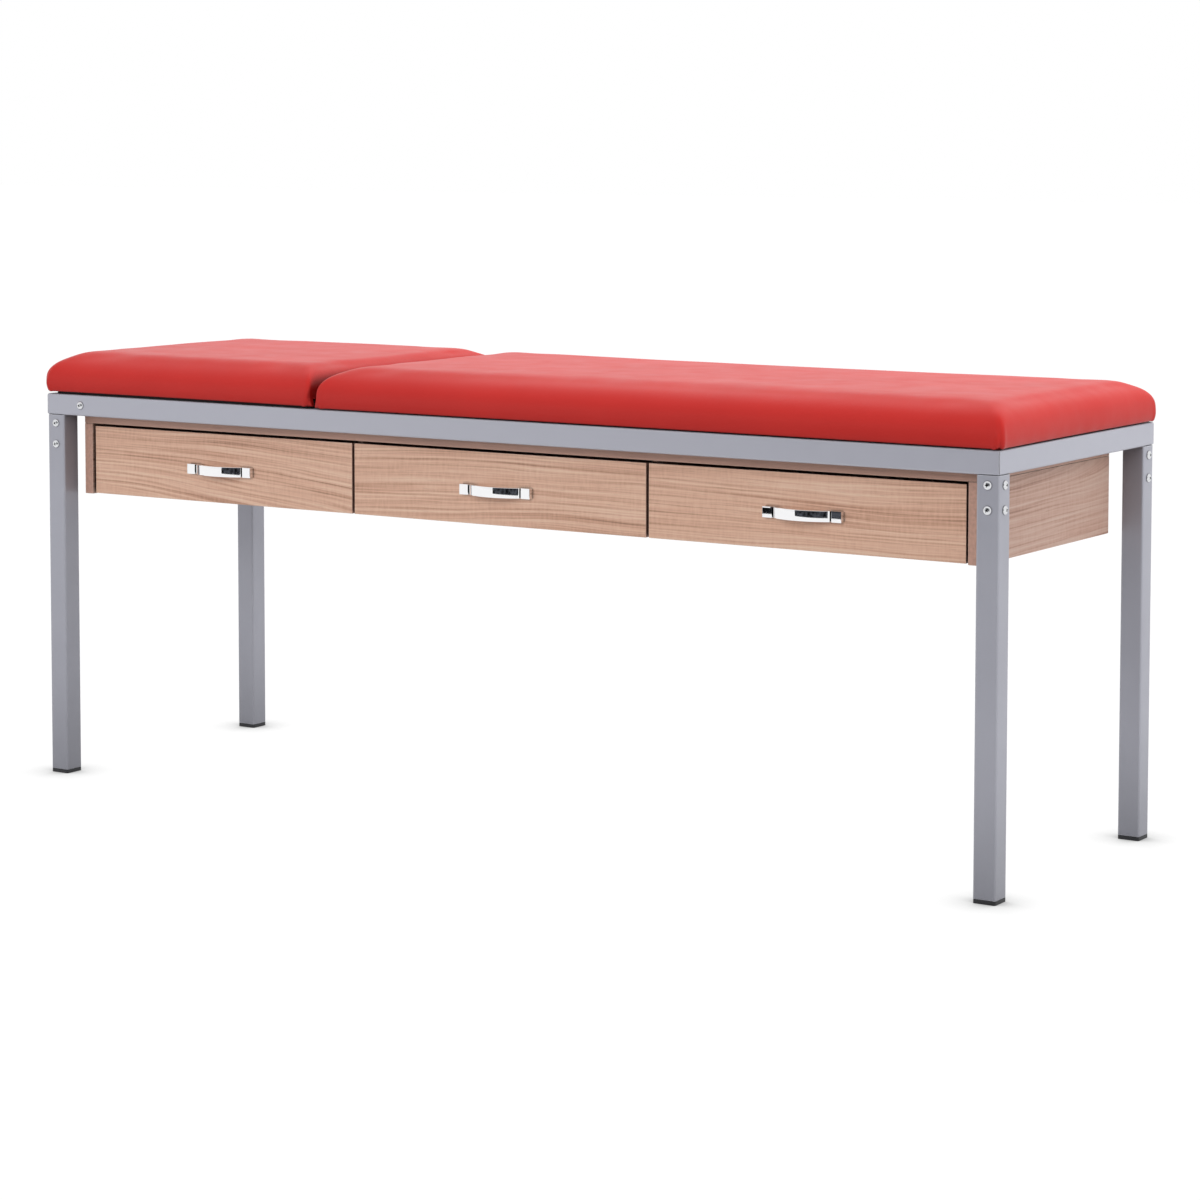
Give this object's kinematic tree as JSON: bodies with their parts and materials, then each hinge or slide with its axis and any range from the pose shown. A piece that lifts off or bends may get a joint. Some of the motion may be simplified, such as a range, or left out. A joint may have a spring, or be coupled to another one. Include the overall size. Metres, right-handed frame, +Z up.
{
  "type": "examination couch with drawers",
  "caption": "Padded examination couch on a square-tube steel frame, with a tilting head section and a drawer unit with bow handles under the frame",
  "frame": {"origin": "on the floor, under the middle of the couch", "axes": "+X towards the foot end along the couch, +Y towards the back (the drawers open to -Y), +Z up"},
  "size_m": [1.91, 0.586, 0.7627],
  "materials": {
    "grey_paint": "satin",
    "red_vinyl": "satin",
    "laminate": "satin",
    "white_board": "satin",
    "black_board": "matte",
    "black_plastic": "matte",
    "chrome": "polished",
    "zinc": "gloss"
  },
  "bodies": {
    "frame": {"rail_front": "grey_paint", "rail_right": "grey_paint", "rail_back": "grey_paint", "rail_left": "grey_paint", "cross_bar_head": "grey_paint", "cross_bar_foot": "grey_paint", "leg_front_left": "grey_paint", "leg_front_right": "grey_paint", "leg_back_left": "grey_paint", "leg_back_right": "grey_paint", "leg_socket_front_left": "grey_paint", "leg_socket_front_right": "grey_paint", "leg_socket_back_left": "grey_paint", "leg_socket_back_right": "grey_paint", "foot_cap_front_left": "black_plastic", "foot_cap_front_right": "black_plastic", "foot_cap_back_left": "black_plastic", "foot_cap_back_right": "black_plastic", "main_board": "black_board", "main_cushion": "red_vinyl", "hinge_leaf_main": "zinc", "hinge_pin": "zinc", "prop_rack_front": "zinc", "prop_rack_back": "zinc", "left_drawer_runner_left": "zinc", "left_drawer_runner_right": "zinc", "middle_drawer_runner_left": "zinc", "middle_drawer_runner_right": "zinc", "right_drawer_runner_left": "zinc", "right_drawer_runner_right": "zinc", "unit_top": "laminate", "unit_side_left": "laminate", "unit_side_right": "laminate", "unit_back": "laminate", "unit_divider_left": "laminate", "unit_divider_middle": "laminate"},
    "head_section": {"head_board": "black_board", "head_cushion": "red_vinyl", "hinge_leaf_head": "zinc", "prop_bracket_front": "zinc", "prop_bracket_back": "zinc"},
    "prop": {"prop_stay": "zinc"},
    "left_drawer": {"left_drawer_front": "laminate", "left_drawer_side_left": "white_board", "left_drawer_side_right": "white_board", "left_drawer_back": "white_board", "left_drawer_bottom": "white_board", "left_drawer_handle": "chrome"},
    "middle_drawer": {"middle_drawer_front": "laminate", "middle_drawer_side_left": "white_board", "middle_drawer_side_right": "white_board", "middle_drawer_back": "white_board", "middle_drawer_bottom": "white_board", "middle_drawer_handle": "chrome"},
    "right_drawer": {"right_drawer_front": "laminate", "right_drawer_side_left": "white_board", "right_drawer_side_right": "white_board", "right_drawer_back": "white_board", "right_drawer_bottom": "white_board", "right_drawer_handle": "chrome"}
  },
  "joints": [
    {"name": "head_tilt", "type": "hinge", "parent": "frame", "child": "head_section", "pos_m": [-0.345, 0, 0.7123], "axis": [0, 1, 0], "range_deg": [0, 45]},
    {"name": "prop_swing", "type": "hinge", "parent": "head_section", "child": "prop", "pos_m": [-0.5651, 0, 0.6803], "axis": [0, 1, 0], "range_deg": [-83, 0]},
    {"name": "left_drawer_slide", "type": "slide", "parent": "frame", "child": "left_drawer", "axis": [0, -1, 0], "range_m": [0, 0.32]},
    {"name": "middle_drawer_slide", "type": "slide", "parent": "frame", "child": "middle_drawer", "axis": [0, -1, 0], "range_m": [0, 0.32]},
    {"name": "right_drawer_slide", "type": "slide", "parent": "frame", "child": "right_drawer", "axis": [0, -1, 0], "range_m": [0, 0.32]}
  ],
  "couplings": [
    {"joint": "prop_swing", "follows": "head_tilt", "ratio": -1.8283}
  ]
}
